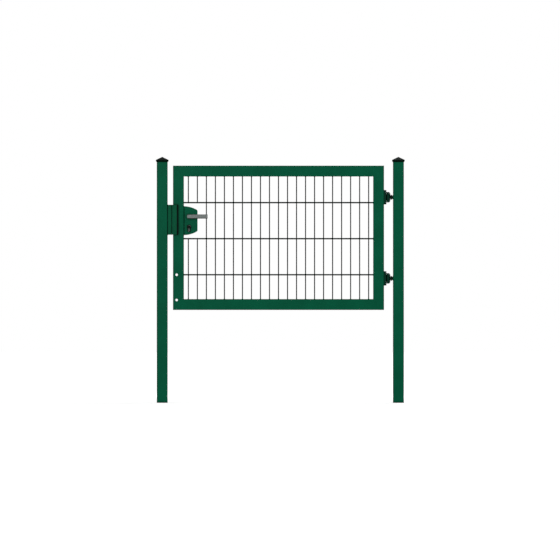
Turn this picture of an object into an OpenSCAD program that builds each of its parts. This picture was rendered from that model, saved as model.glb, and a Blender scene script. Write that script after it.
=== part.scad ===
// Single-leaf garden gate. A welded frame of rectangular tube filled with double-wire
// mesh hangs on two adjustable eyebolt hinges between square posts. The leaf has a
// tubular lock case with a lever on both sides, and shuts against a keep on the lock post.
//
// Millimetres. +X runs from the lock post towards the hinge post, +Z is up and the front
// of the gate faces -Y. The origin is the centre of the hinge post's foot. Pieces on the
// leaf are placed from the leaf's lower outer corner on the lock side.

/* [Posts] */
// Width of each square post
post_w = 60; // [50:1:100]
// Wall of the post tube
post_wall = 2; // [1.5:0.5:4]
// Outer corner radius of the post tube
post_corner = 4; // [2:0.5:6]
// Length of each post, with the foot that is set in concrete
post_len = 1335; // [1000:5:2200]

/* [Post caps] */
// How far a cap's brim stands out over the post
cap_over = 5; // [3:0.5:15]
// Height of the slope under the brim
cap_under = 4.5; // [3:1:12]
// Height of the brim's upright edge
cap_lip = 7.5; // [1:0.5:12]
// Height of the whole cap above the post
cap_rise = 29; // [20:1:50]
// Depth of the skirt that plugs the post
cap_skirt = 22; // [10:1:40]
// Wall of the cap
cap_wall = 2.5; // [1.5:0.5:4]
// How far the foot of the cap's slope stands out over the post
cap_seat = 0.5; // [0:0.5:2]

/* [Leaf frame] */
// Width of the leaf
leaf_w = 1170; // [800:10:1600]
// Height of the leaf
leaf_h = 800; // [650:10:1200]
// How far the leaf's top lies below the top of the posts
leaf_drop = 20; // [0:1:60]
// Width of the frame tube, seen from the front
frame_w = 60; // [45:1:80]
// Depth of the frame tube, front to back
frame_d = 40; // [32:1:60]
// Wall of the frame tube
frame_wall = 2; // [1.5:0.5:4]
// Outer corner radius of the frame tube
frame_corner = 3; // [2:0.5:4]
// Diameter of the two fixing holes through the lock stile
stile_hole_d = 14; // [8:1:20]
// Distance of those holes from the stile's outer face
stile_hole_inset = 20; // [16:1:30]
// Height of the lower hole above the leaf's bottom
stile_hole_z = 55; // [30:1:100]
// Distance between the two holes
stile_hole_pitch = 140; // [60:1:200]

/* [Mesh] */
// Diameter of the upright wires
upright_d = 6; // [4:0.5:8]
// Diameter of the paired level wires
level_d = 8; // [5:0.5:10]
// Distance between upright wires
upright_pitch = 50; // [40:1:80]
// Distance between pairs of level wires
level_pitch = 200; // [120:5:250]
// Height of the lowest pair above the leaf's bottom
level_first = 195; // [100:5:230]
// Least distance between the highest pair and the top rail
level_free = 40; // [20:5:100]
// How deep the wires sink into each other where they are welded
weld_sink = 1; // [0.5:0.1:1.5]

/* [Lock] */
// Height of the keep's middle above the leaf's bottom
lock_z = 500; // [400:5:550]
// Height of the lever's pivot above the keep's middle
pivot_rise = 18; // [10:1:30]
// Height of the lever's pivot above the key cylinder's
key_drop = 58; // [50:1:80]
// Distance of the pivot and the key from the stile's inner face
pivot_in = 29; // [22:0.5:40]
// How far the case reaches past the pivot along the leaf
case_past = 47; // [35:0.5:70]
// Distance from the lock mechanism's box to the case's top and bottom
case_room = 15; // [10:0.5:30]
// Radius of the case's arched top and bottom
case_crown = 140; // [110:1:160]
// Rounding of the case's two free corners
case_corner = 8.5; // [5:0.5:12]
// How far the case's faces lie behind the frame's
case_step = 2; // [0:0.5:5]
// Wall of the lock case
case_wall = 2.5; // [1.5:0.5:4]
// Width of the faceplate
faceplate_w = 22; // [18:1:26]
// Height of the faceplate
faceplate_h = 164; // [150:1:200]
// Thickness of the faceplate
faceplate_t = 3; // [2:0.5:4]
// Thickness of the latch bolt
latch_t = 12; // [8:1:14]
// Height of the latch bolt
latch_h = 32; // [20:1:36]
// Height of the latch bolt's middle above the lever's pivot
latch_rise = 22; // [16:1:22]
// Flat at the tip of the latch bolt, beside its bevel
latch_flat = 2; // [1:0.5:4]
// How far the drawn-back latch still stands out
latch_out = 2.5; // [1:0.5:5]
// Thickness of the dead bolt
dead_t = 10; // [8:1:14]
// Height of the dead bolt
dead_h = 30; // [20:1:34]
// Height of the dead bolt's middle above the key cylinder's
dead_rise = 16; // [10:1:18]
// How far the drawn-back dead bolt still stands out
dead_out = 1; // [0:0.5:5]
// How far both bolts reach into the leaf
bolt_reach = 45; // [30:1:60]
// How far the lock mechanism's box reaches past the pivot
mech_past = 16; // [12:1:20]
// Distance from the latch bolt up to the top of that box
mech_above = 4; // [2:0.5:10]
// Distance from the key cylinder down to the bottom of that box
mech_below = 5.5; // [2:0.5:10]
// Sheet of that box
mech_wall = 1.5; // [1:0.5:2]
// Play round that box where it passes through the stile
mech_slot = 1; // [0.5:0.5:3]

/* [Levers and key cylinder] */
// Length of a lever
lever_len = 114; // [90:1:140]
// Height of a lever's grip
lever_h = 23; // [18:1:26]
// Thickness of a lever's grip
lever_t = 11; // [8:1:14]
// Free space between a lever's grip and the lock case
lever_clear = 28; // [22:1:40]
// Rounding of the grip's four long edges
lever_edge = 4; // [1:0.5:5]
// Diameter of the neck's end, which turns in the bush
journal_d = 14; // [13:0.5:20]
// How far the lever's neck stands out round its journal
neck_step = 2; // [1:0.5:4]
// Wall of the bush in the lock case
bush_wall = 1.9; // [1:0.1:3]
// How far the bush's flange stands out round its barrel
bush_rim = 1; // [0.5:0.5:3]
// Thickness of the bush's flange
bush_flange = 3; // [2:0.5:4]
// Side of the square spindle
spindle_s = 8; // [6:0.5:9.5]
// How far the spindle's socket reaches into the lever's neck
socket_reach = 16; // [8:1:24]
// Diameter of the key cylinder's round head
key_head_d = 17; // [16:0.5:18]
// Width of the key cylinder's leg
key_leg_w = 10; // [9:0.5:11]
// Height of the whole key cylinder
key_h = 33; // [30:0.5:35]
// Diameter of the turning plug
plug_d = 13; // [11:0.5:14]
// Width of the surround's rim round the key cylinder
surround_rim = 3.3; // [2:0.1:5]
// Thickness of the surround
surround_t = 3; // [2:0.5:5]
// How far the key cylinder stands out of the surround
key_proud = 1; // [0.5:0.5:3]
// How far the plug stands out of the key cylinder
plug_proud = 0.3; // [0:0.1:1]
// Length of a plug inside the key cylinder
plug_len = 14; // [10:1:16]

/* [Keep] */
// How far the keep reaches past the faceplate, above and below
keep_past = 1; // [0:1:20]
// How far the keep's box stands off the post
keep_w = 22; // [15:1:40]
// Gap between the keep's box and the leaf
keep_gap = 8; // [6:1:15]
// How far the keep's box reaches behind the leaf's middle
keep_back = 19; // [17:1:25]
// Sheet of the keep
keep_wall = 3; // [2:0.5:4]
// Play beside each bolt in its pocket
pocket_side = 8; // [3:0.5:9]
// Play above and below each bolt in its pocket
pocket_play = 4; // [2:0.5:8]
// How far the stop plate laps over the leaf
stop_lap = 27; // [15:1:35]
// Thickness of the stop plate
stop_t = 3; // [3:0.5:6]
// How far the stop plate lies behind the front of the keep's box
stop_step = 2.4; // [1:0.1:4]
// Thickness of the buffer's cushion
cushion_t = 4; // [3:0.5:8]
// Width of the buffer strip
buffer_w = 7; // [5:0.5:12]
// Thickness of the buffer's lip in front of the plate
buffer_lip = 1.2; // [1:0.1:3]

/* [Hinges] */
// Distance of each hinge from the leaf's top or bottom
hinge_inset = 175; // [120:5:220]
// Thickness of the bracket's plate
bracket_t = 6; // [3:0.5:8]
// How far the plate reaches past the ears, above and below, to take a screw
bracket_lug = 11; // [11:0.5:30]
// Diameter of the bracket's screw holes
screw_hole_d = 6.5; // [4:0.5:9]
// Height over the bracket's two ears
fork_h = 58; // [40:1:90]
// Thickness of an ear
ear_t = 8; // [5:0.5:12]
// How far an ear widens on each side between the pin and the plate
ear_flare = 3; // [1:0.5:5]
// Chamfer at the outer end of an ear
ear_chamfer = 7; // [2:0.5:7.5]
// Diameter of the hinge pin
pin_d = 12; // [8:0.5:15]
// Diameter of the eyebolt's barrel, and of an ear round the pin
barrel_d = 24; // [18:0.5:28]
// Gap between the barrel and the bracket's plate
barrel_gap = 5; // [2:0.5:12]
// Thickness of the rib that joins the ears in front of that gap
rib_t = 4; // [2:0.5:4.5]
// Diameter of the eyebolt's shank
shank_d = 16; // [10:1:20]
// Free thread between the barrel and the lock nut, turned in or out to set the leaf
thread_free = 1; // [0.5:0.5:20]
// How far the shank reaches past the sleeve inside the post
shank_past = 24; // [5:1:34]
// Wall of the lock nut at its flats
nut_wall = 4; // [2.5:0.5:6]
// Thickness of the lock nut
nut_t = 8; // [5:0.5:15]
// Wall of the threaded sleeve in the post
sleeve_wall = 1.8; // [1.4:0.1:4]
// How far the sleeve stands out of the post
sleeve_out = 6; // [3:0.5:15]
// Depth of the sleeve inside the post
sleeve_in = 20; // [10:1:26]

/* [Clearances] */
// Play of a turning shaft in its bore, each side
running_play = 0.1; // [0.05:0.01:0.1]
// Play of a fixed piece in its hole, each side
fitting_play = 0.2; // [0.1:0.05:0.3]
// Play between the ends of turning pieces
end_play = 0.5; // [0.3:0.1:0.8]
// Gap between the shut leaf and the buffer
stop_gap = 0.6; // [0.4:0.1:1.5]

/* [Hidden] */

$fn = 48;
green = "#035039";
wire_green = "#0a3526";
dark_green = "#06291d";
black = "#121514";
steel = "#8d9294";
grey = "#717675";

// How far a cut or a hidden end runs past the face it crosses
past = 1;

// Hinge, from its axis towards the post
ear_r = barrel_d / 2;
hinge_reach = bracket_t + barrel_gap + barrel_d / 2;
nut_start = ear_r + thread_free;
sleeve_start = nut_start + nut_t;
post_face = sleeve_start + sleeve_out;
shank_len = post_face + sleeve_in + shank_past;
shank_chamfer = 1.5;
pin_chamfer = 1;
barrel_h = fork_h - 2 * ear_t - 2 * end_play;
bracket_h = fork_h + 2 * bracket_lug;
bracket_d = frame_d - 2 * frame_corner;
screw_z = (fork_h + bracket_lug) / 2;
nut_af = shank_d + 2 * nut_wall;
nut_r = nut_af / 2 / cos(30);
sleeve_bore = shank_d + 2 * fitting_play;
sleeve_d = sleeve_bore + 2 * sleeve_wall;

// Where the posts and the leaf stand
hinge_gap = hinge_reach + post_face;
lock_gap = keep_w + keep_gap;
leaf_x = -(post_w / 2 + hinge_gap + leaf_w);
leaf_z = post_len - leaf_drop - leaf_h;
lock_post_x = leaf_x - lock_gap - post_w / 2;
hinge_x = -(post_w / 2 + post_face);
hinge_z = [leaf_z + hinge_inset, leaf_z + leaf_h - hinge_inset];

// Key cylinder
key_head_r = key_head_d / 2;
key_leg_r = key_leg_w / 2;
key_leg_drop = key_h - key_head_r - key_leg_r;
keyway = [2.4, 9, 8];

// Lock, in heights above the leaf's bottom and distances from its outer edge
backset = frame_w + pivot_in;
pivot_z = lock_z + pivot_rise;
key_z = pivot_z - key_drop;
latch_z = pivot_z + latch_rise;
dead_z = key_z + dead_rise;
mech_len = backset + mech_past;
mech_top = latch_z + latch_h / 2 + mech_above;
mech_bottom = key_z - key_leg_drop - key_leg_r - mech_below;
mech_h = mech_top - mech_bottom;
mech_t = max(latch_t, dead_t) + 2 * (fitting_play + mech_wall);
case_z = (mech_top + mech_bottom) / 2;
case_h = mech_h + 2 * case_room;
case_w = pivot_in + case_past;
crown_r = max(case_crown, case_w + 2 * case_corner);
case_d = frame_d - 2 * case_step;

// Levers, from the middle of the leaf towards one side
neck_d = journal_d + 2 * neck_step;
bush_bore = journal_d + 2 * running_play;
bush_d = bush_bore + 2 * bush_wall;
grip_y = case_d / 2 + lever_clear + lever_t / 2;
socket_s = spindle_s + 2 * running_play;
socket_end = case_d / 2 + socket_reach;
key_face = case_d / 2 + surround_t + key_proud;

// Keep, from the middle of the leaf towards the front
keep_h = faceplate_h + 2 * keep_past;
stop_reach = lock_gap + stop_lap;
stop_back = frame_d / 2 + stop_gap + cushion_t;
keep_front = stop_back + stop_t + stop_step;

// ---- Shared shapes ----

// Rectangle centred on the origin with round corners of radius r
module rounded_rect(size, r) {
    square([size.x - 2 * r, size.y], center = true);
    square([size.x, size.y - 2 * r], center = true);
    for (sx = [-1, 1], sy = [-1, 1])
        translate([sx * (size.x / 2 - r), sy * (size.y / 2 - r)])
            circle(r = r);
}

// Rectangular tube standing on z = 0
module tube(size, wall, corner, length) {
    linear_extrude(height = length)
        difference() {
            rounded_rect(size, corner);
            rounded_rect([size.x - 2 * wall, size.y - 2 * wall], max(corner - wall, 0.5));
        }
}

// Gives an outline drawn in X and Z its thickness, from y0 to y1
module along_y(y0, y1) {
    translate([0, y1, 0])
        rotate([90, 0, 0])
            linear_extrude(height = y1 - y0)
                children();
}

// Gives an outline drawn in Y and Z its thickness, from x0 to x1
module along_x(x0, x1) {
    translate([x0, 0, 0])
        rotate([90, 0, 90])
            linear_extrude(height = x1 - x0)
                children();
}

// Cylinder lying along X from x0 to x1
module rod_x(x0, x1, d) {
    translate([x0, 0, 0])
        rotate([0, 90, 0])
            cylinder(d = d, h = x1 - x0);
}

// Cylinder lying along Y from y0 to y1
module rod_y(y0, y1, d) {
    translate([0, y0, 0])
        rotate([-90, 0, 0])
            cylinder(d = d, h = y1 - y0);
}

// Puts children in the leaf's frame, x along the leaf and z above its bottom
module on_leaf(x = 0, z = 0) {
    translate([leaf_x + x, 0, leaf_z + z])
        children();
}

// Puts children on the axis of hinge i, 0 the lower and 1 the upper
module at_hinge(i) {
    translate([hinge_x, 0, hinge_z[i]])
        children();
}

// Turns a piece made for the front (-Y) to the back
module to_back() {
    mirror([0, 1, 0])
        children();
}

// ---- Posts ----

module post() {
    tube([post_w, post_w], post_wall, post_corner, post_len);
}

module hinge_post() {
    color(green)
        difference() {
            post();
            for (z = hinge_z)
                translate([0, 0, z])
                    rod_x(-post_w / 2 - past, -post_w / 2 + post_wall + past, sleeve_d + 2 * fitting_play);
        }
}

module lock_post() {
    color(green)
        translate([lock_post_x, 0, 0])
            post();
}

// Side view of the cap above the post: under-slope, upright lip and pyramid
module cap_outline() {
    half = post_w / 2 + cap_over;
    seat = post_w / 2 + cap_seat;
    polygon([
        [-seat, 0], [seat, 0], [half, cap_under], [half, cap_under + cap_lip],
        [0, cap_rise], [-half, cap_under + cap_lip], [-half, cap_under]
    ]);
}

// Pyramid cap with a hollow skirt that plugs the post
module post_cap() {
    cap_w = post_w + 2 * cap_over;
    plug = post_w - 2 * post_wall - 2 * fitting_play;
    plug_corner = max(post_corner - post_wall, 0.5);
    hollow = plug - 2 * cap_wall;
    color(black)
        translate([0, 0, post_len])
            difference() {
                union() {
                    intersection() {
                        along_y(-cap_w / 2, cap_w / 2)
                            cap_outline();
                        along_x(-cap_w / 2, cap_w / 2)
                            cap_outline();
                    }
                    translate([0, 0, -cap_skirt])
                        linear_extrude(height = cap_skirt + past)
                            rounded_rect([plug, plug], plug_corner);
                }
                translate([-hollow / 2, -hollow / 2, -cap_skirt - past])
                    cube([hollow, hollow, cap_skirt + past + cap_under]);
            }
}

// ---- Leaf frame ----

// Frame tube along +X with its outer face on z = 0 and both ends mitred
module mitred_tube(length) {
    intersection() {
        translate([0, 0, frame_w / 2])
            rotate([0, 90, 0])
                tube([frame_w, frame_d], frame_wall, frame_corner, length);
        along_y(-frame_d / 2, frame_d / 2)
            polygon([[0, 0], [length, 0], [length - frame_w, frame_w], [frame_w, frame_w]]);
    }
}

module bottom_rail() {
    color(green)
        on_leaf()
            mitred_tube(leaf_w);
}

module top_rail() {
    color(green)
        on_leaf(0, leaf_h)
            mirror([0, 0, 1])
                mitred_tube(leaf_w);
}

module hinge_stile() {
    color(green)
        difference() {
            on_leaf(leaf_w)
                rotate([0, -90, 0])
                    mitred_tube(leaf_h);
            for (i = [0, 1])
                at_hinge(i)
                    bracket_screw_holes();
        }
}

module lock_stile() {
    color(green)
        on_leaf()
            difference() {
                mirror([1, 0, 0])
                    rotate([0, -90, 0])
                        mitred_tube(leaf_h);
                along_x(-past, frame_wall + past)
                    faceplate_outline(fitting_play);
                along_x(frame_w - frame_wall - past, frame_w + past)
                    translate([0, case_z])
                        square([mech_t + 2 * mech_slot, mech_h + 2 * mech_slot], center = true);
                for (z = [0, stile_hole_pitch])
                    translate([stile_hole_inset, 0, stile_hole_z + z])
                        rod_y(-frame_d, frame_d, stile_hole_d);
            }
}

// ---- Mesh ----

inner_w = leaf_w - 2 * frame_w;
upright_count = floor(inner_w / upright_pitch);
upright_first = frame_w + (inner_w - (upright_count - 1) * upright_pitch) / 2;
level_top = leaf_h - frame_w - level_free;
levels = [for (z = level_first; z < level_top; z = z + level_pitch) z];
level_y = (upright_d + level_d) / 2 - weld_sink;

// The mesh leaves the bay round the lock case free of uprights
bay_end = frame_w + case_w + upright_d;
bay_bottom = max(concat([frame_w], [for (z = levels) if (z < case_z - case_h / 2) z]));
bay_top = min(concat([leaf_h - frame_w], [for (z = levels) if (z > case_z + case_h / 2) z]));

// Eight-sided wire standing on z = 0, with d across its flats
module wire(d, length) {
    rotate([0, 0, 22.5])
        cylinder(d = d / cos(22.5), h = length, $fn = 8);
}

module upright(x, z0, z1) {
    if (z1 > z0)
        translate([x, 0, z0])
            wire(upright_d, z1 - z0);
}

module mesh_panel() {
    color(wire_green)
        on_leaf()
            difference() {
                union() {
                    for (i = [0 : upright_count - 1]) {
                        x = upright_first + i * upright_pitch;
                        if (x < bay_end) {
                            if (bay_bottom > frame_w)
                                upright(x, frame_w, bay_bottom + level_d / 2);
                            if (bay_top < leaf_h - frame_w)
                                upright(x, bay_top - level_d / 2, leaf_h - frame_w);
                        } else {
                            upright(x, frame_w, leaf_h - frame_w);
                        }
                    }
                    for (z = levels, s = [-1, 1])
                        translate([frame_w, s * level_y, z])
                            rotate([0, 90, 0])
                                wire(level_d, inner_w);
                }
                translate([frame_w, 0, case_z])
                    along_y(-frame_d / 2, frame_d / 2)
                        polygon(case_outline(-fitting_play));
            }
}

// ---- Lock ----

// Case outline in X and Z, shrunk by g: square to the stile, arched above and below, with round free corners
function case_outline(g) =
    let (
        arch_z = case_h / 2 - crown_r,
        corner_x = case_w - case_corner,
        turn = acos(corner_x / (crown_r - case_corner)),
        corner_z = arch_z + (crown_r - case_corner) * sin(turn),
        arch = [for (i = [0 : 12]) 90 - i * (90 - turn) / 12],
        bend = [for (i = [1 : 6]) turn * (1 - i / 6)],
        upper = concat(
            [for (a = arch) [0, arch_z] + (crown_r - g) * [cos(a), sin(a)]],
            [for (a = bend) [corner_x, corner_z] + (case_corner - g) * [cos(a), sin(a)]]
        )
    )
    concat([for (p = upper) [p.x, -p.y]], [for (i = [len(upper) - 1 : -1 : 0]) upper[i]]);

// Euro profile in X and Z, grown by g: a round head over a narrow leg
module euro_profile(g) {
    circle(r = key_head_r + g);
    translate([-key_leg_r - g, -key_leg_drop])
        square([2 * (key_leg_r + g), key_leg_drop]);
    translate([0, -key_leg_drop])
        circle(r = key_leg_r + g);
}

// Hollow case welded to the inner face of the lock stile
module lock_case() {
    half = case_d / 2;
    color(green)
        difference() {
            on_leaf(frame_w, case_z)
                difference() {
                    along_y(-half, half)
                        polygon(case_outline(0));
                    translate([-past, 0, 0])
                        along_y(-half + case_wall, half - case_wall)
                            polygon(case_outline(case_wall));
                }
            on_leaf(backset, pivot_z)
                rod_y(-half - past, half + past, bush_d + 2 * fitting_play);
            on_leaf(backset, key_z)
                along_y(-half - past, half + past)
                    euro_profile(fitting_play);
        }
}

// Faceplate outline in Y and Z above the leaf's bottom, grown by g
module faceplate_outline(g) {
    end = (faceplate_h - faceplate_w) / 2;
    translate([0, lock_z])
        square([faceplate_w + 2 * g, 2 * end], center = true);
    for (s = [-1, 1])
        translate([0, lock_z + s * end])
            circle(d = faceplate_w + 2 * g);
}

// Rectangle in Y and Z for a bolt of the given thickness and height
module bolt_outline(t, h, z, g) {
    translate([0, z])
        square([t + 2 * g, h + 2 * g], center = true);
}

module lock_faceplate() {
    color(steel)
        on_leaf()
            along_x(0, faceplate_t)
                difference() {
                    faceplate_outline(0);
                    bolt_outline(latch_t, latch_h, latch_z, fitting_play);
                    bolt_outline(dead_t, dead_h, dead_z, fitting_play);
                }
}

// Flat box of sheet metal behind the faceplate, which carries the bolts, the spindle and the key cylinder
module lock_mechanism() {
    color(steel)
        on_leaf()
            difference() {
                translate([faceplate_t, -mech_t / 2, case_z - mech_h / 2])
                    cube([mech_len - faceplate_t, mech_t, mech_h]);
                translate([faceplate_t + mech_wall, mech_wall - mech_t / 2, case_z - mech_h / 2 + mech_wall])
                    cube([
                        mech_len - faceplate_t - 2 * mech_wall,
                        mech_t - 2 * mech_wall,
                        mech_h - 2 * mech_wall
                    ]);
                along_x(0, faceplate_t + mech_wall + past) {
                    bolt_outline(latch_t, latch_h, latch_z, fitting_play);
                    bolt_outline(dead_t, dead_h, dead_z, fitting_play);
                }
                translate([backset, 0, pivot_z])
                    rod_y(-mech_t, mech_t, bush_d);
                translate([backset, 0, key_z])
                    along_y(-mech_t, mech_t)
                        euro_profile(fitting_play);
            }
}

// Latch bolt, drawn back, with its nose bevelled on the side that meets the keep on closing
module latch_bolt() {
    half = latch_t / 2;
    bevel = latch_t - latch_flat;
    color(steel)
        on_leaf(0, latch_z - latch_h / 2)
            linear_extrude(height = latch_h)
                polygon([
                    [bolt_reach, -half], [bolt_reach, half], [-latch_out, half],
                    [-latch_out, half - latch_flat], [bevel - latch_out, -half]
                ]);
}

module dead_bolt() {
    color(steel)
        on_leaf()
            along_x(-dead_out, bolt_reach)
                bolt_outline(dead_t, dead_h, dead_z, 0);
}

module key_cylinder() {
    color(grey)
        on_leaf(backset, key_z)
            difference() {
                along_y(-key_face, key_face)
                    euro_profile(0);
                rod_y(-key_face - past, plug_len - key_face, plug_d + 2 * running_play);
                rod_y(key_face - plug_len, key_face + past, plug_d + 2 * running_play);
            }
}

// Turning plug with its keyway
module key_plug() {
    face = key_face + plug_proud;
    difference() {
        rod_y(-face, plug_len - key_face - end_play, plug_d);
        translate([-keyway.x / 2, -face - past, -keyway.y / 2])
            cube([keyway.x, keyway.z + past, keyway.y]);
    }
}

// Surround that follows the key cylinder's profile
module cylinder_surround() {
    along_y(-case_d / 2 - surround_t, -case_d / 2)
        difference() {
            euro_profile(surround_rim);
            euro_profile(fitting_play);
        }
}

// Flanged bush in the lock case, in which a lever turns
module lever_bush() {
    half = case_d / 2;
    difference() {
        union() {
            rod_y(-half - bush_flange, -half, bush_d + 2 * bush_rim);
            rod_y(-half - past, -half + case_wall, bush_d);
        }
        rod_y(-half - bush_flange - past, -half + case_wall + past, bush_bore);
    }
}

module on_pivot() {
    on_leaf(backset, pivot_z)
        children();
}

module on_key() {
    on_leaf(backset, key_z)
        children();
}

// Lever made for the front: a flat grip with a round end on a round neck
module lever() {
    half = case_d / 2;
    shoulder = half + bush_flange + end_play;
    difference() {
        union() {
            intersection() {
                translate([0, -grip_y, 0])
                    along_x(-lever_h / 2, lever_len - lever_h / 2)
                        rounded_rect([lever_t, lever_h], lever_edge);
                along_y(-grip_y - lever_t, -grip_y + lever_t) {
                    circle(d = lever_h);
                    translate([0, -lever_h / 2])
                        square([lever_len, lever_h]);
                }
            }
            rod_y(-grip_y, -shoulder, neck_d);
            rod_y(-shoulder - past, -half + case_wall, journal_d);
        }
        translate([0, -socket_end / 2, 0])
            cube([socket_s, socket_end, socket_s], center = true);
    }
}

module lever_spindle() {
    reach = socket_end - end_play;
    color(steel)
        on_pivot()
            cube([spindle_s, 2 * reach, spindle_s], center = true);
}

// ---- Keep ----

// Puts children on the lock post's face, x away from the post and z above the keep's foot
module on_keep() {
    translate([lock_post_x + post_w / 2, 0, leaf_z + lock_z - keep_h / 2])
        children();
}

// Sheet-metal box, open to the post, with a pocket each for the latch and the dead bolt
module keep_box() {
    depth = keep_front + keep_back;
    pocket_w = max(latch_t, dead_t) + 2 * pocket_side;
    color(green)
        on_keep()
            difference() {
                translate([0, -keep_front, 0])
                    cube([keep_w, depth, keep_h]);
                translate([-past, keep_wall - keep_front, keep_wall])
                    cube([keep_w - keep_wall + past, depth - 2 * keep_wall, keep_h - 2 * keep_wall]);
                for (bolt = [[latch_z, latch_h], [dead_z, dead_h]])
                    translate([0, 0, keep_h / 2 - lock_z])
                        along_x(keep_w - keep_wall - past, keep_w + past)
                            bolt_outline(pocket_w, bolt[1] + 2 * pocket_play, bolt[0], 0);
            }
}

// Plate in front of the shut leaf
module stop_plate() {
    color(green)
        on_keep()
            translate([keep_w, -stop_back - stop_t, 0])
                cube([stop_reach - keep_w, stop_t, keep_h]);
}

// Rubber strip clipped round the stop plate's edge, with its cushion towards the leaf
module stop_buffer() {
    x0 = stop_reach + buffer_lip - buffer_w;
    x1 = stop_reach + buffer_lip;
    y_front = -stop_back - stop_t - buffer_lip;
    y_back = -stop_back + cushion_t;
    color(black)
        on_keep()
            linear_extrude(height = keep_h)
                polygon([
                    [x0, y_front], [x1, y_front], [x1, y_back], [x0, y_back],
                    [x0, -stop_back], [stop_reach, -stop_back],
                    [stop_reach, -stop_back - stop_t], [x0, -stop_back - stop_t]
                ]);
}

// ---- Hinges, made with the hinge axis on the origin ----

// Where a line from p touches the circle of radius r round the origin
function touch_point(p, r) =
    let (a = atan2(p.y, p.x) - acos(r / norm(p)))
    r * [cos(a), sin(a)];

// Plan of an ear: from the plate, narrowing to a round end about the pin
module ear_plan() {
    root = [bracket_t - hinge_reach, ear_r + ear_flare];
    touch = touch_point(root, ear_r);
    circle(r = ear_r);
    polygon([[root.x, -root.y], [touch.x, -touch.y], touch, root]);
}

module bracket_screw_holes() {
    for (s = [-1, 1])
        translate([0, 0, s * screw_z])
            rod_x(-hinge_reach - frame_wall - past, bracket_t - hinge_reach + past, screw_hole_d);
}

// Plate on the leaf with two ears, each bored for the pin and chamfered at its end, and a front rib
module hinge_bracket() {
    top = fork_h / 2;
    c = min(ear_chamfer, ear_t);
    difference() {
        union() {
            translate([-hinge_reach, -bracket_d / 2, -bracket_h / 2])
                cube([bracket_t, bracket_d, bracket_h]);
            translate([bracket_t - hinge_reach, -bracket_d / 2, -top])
                cube([barrel_gap, rib_t, fork_h]);
            intersection() {
                for (z = [-top, top - ear_t])
                    translate([0, 0, z])
                        linear_extrude(height = ear_t)
                            ear_plan();
                along_y(-bracket_d / 2, bracket_d / 2)
                    polygon([
                        [-hinge_reach, -top], [ear_r - c, -top], [ear_r, c - top],
                        [ear_r, top - c], [ear_r - c, top], [-hinge_reach, top]
                    ]);
            }
        }
        cylinder(d = pin_d + 2 * running_play, h = fork_h + 2 * past, center = true);
        bracket_screw_holes();
    }
}

// Pin, flush with the ears and chamfered at both ends
module hinge_pin() {
    c = pin_chamfer;
    r = pin_d / 2;
    rotate_extrude()
        polygon([
            [0, -fork_h / 2], [r - c, -fork_h / 2], [r, c - fork_h / 2],
            [r, fork_h / 2 - c], [r - c, fork_h / 2], [0, fork_h / 2]
        ]);
}

// Barrel on the pin with a shank into the post
module eyebolt() {
    c = shank_chamfer;
    difference() {
        union() {
            cylinder(d = barrel_d, h = barrel_h, center = true);
            rod_x(0, shank_len - c, shank_d);
            translate([shank_len - c, 0, 0])
                rotate([0, 90, 0])
                    cylinder(d1 = shank_d, d2 = shank_d - 2 * c, h = c);
        }
        cylinder(d = pin_d + 2 * running_play, h = barrel_h + 2 * past, center = true);
    }
}

// Hexagon nut with chamfered corners, tight against the sleeve
module lock_nut() {
    c = (nut_r - nut_af / 2) * tan(30);
    translate([nut_start, 0, 0])
        rotate([0, 90, 0])
            difference() {
                intersection() {
                    cylinder(r = nut_r, h = nut_t, $fn = 6);
                    rotate_extrude()
                        polygon([
                            [0, 0], [nut_af / 2, 0], [nut_r, c],
                            [nut_r, nut_t - c], [nut_af / 2, nut_t], [0, nut_t]
                        ]);
                }
                translate([0, 0, -past])
                    cylinder(d = sleeve_bore, h = nut_t + 2 * past);
            }
}

// Threaded sleeve welded into the post's face
module hinge_sleeve() {
    difference() {
        rod_x(sleeve_start, post_face + sleeve_in, sleeve_d);
        rod_x(sleeve_start - past, post_face + sleeve_in + past, sleeve_bore);
    }
}

// ---- The gate ----

hinge_post();
lock_post();
post_cap();  // hinge_post_cap
translate([lock_post_x, 0, 0]) post_cap();  // lock_post_cap
color(dark_green) at_hinge(1) hinge_sleeve();  // hinge_sleeve_upper
color(dark_green) at_hinge(0) hinge_sleeve();  // hinge_sleeve_lower
color(dark_green) at_hinge(1) eyebolt();  // eyebolt_upper
color(dark_green) at_hinge(0) eyebolt();  // eyebolt_lower
color(dark_green) at_hinge(1) lock_nut();  // lock_nut_upper
color(dark_green) at_hinge(0) lock_nut();  // lock_nut_lower
keep_box();
stop_plate();
stop_buffer();
lock_stile();
hinge_stile();
top_rail();
bottom_rail();
mesh_panel();
lock_case();
lock_faceplate();
lock_mechanism();
latch_bolt();
dead_bolt();
key_cylinder();
color(black) on_key() key_plug();  // key_plug_front
color(black) on_key() to_back() key_plug();  // key_plug_back
color(black) on_key() cylinder_surround();  // cylinder_surround_front
color(black) on_key() to_back() cylinder_surround();  // cylinder_surround_back
color(black) on_pivot() lever_bush();  // lever_bush_front
color(black) on_pivot() to_back() lever_bush();  // lever_bush_back
color(dark_green) at_hinge(1) hinge_bracket();  // hinge_bracket_upper
color(dark_green) at_hinge(0) hinge_bracket();  // hinge_bracket_lower
color(steel) at_hinge(1) hinge_pin();  // hinge_pin_upper
color(steel) at_hinge(0) hinge_pin();  // hinge_pin_lower
color(grey) on_pivot() lever();  // lever_front
color(grey) on_pivot() to_back() lever();  // lever_back
lever_spindle();
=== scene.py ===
# %% [markdown]
# # A welded garden gate in Blender
#
# The gate is a rectangular frame of steel tube, filled with welded wire mesh and hung
# between two square posts. Its solids come from a CAD model, which is loaded as a fixed
# frame. Blender gives every solid the finish that the real piece has, and adds what is
# too small for the CAD model: round wires with their weld points, weld seams, screws
# and soft edges. Lengths are metres, +X runs towards the hinge post, +Z is up, and the
# front of the gate faces -Y.

import math

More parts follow.
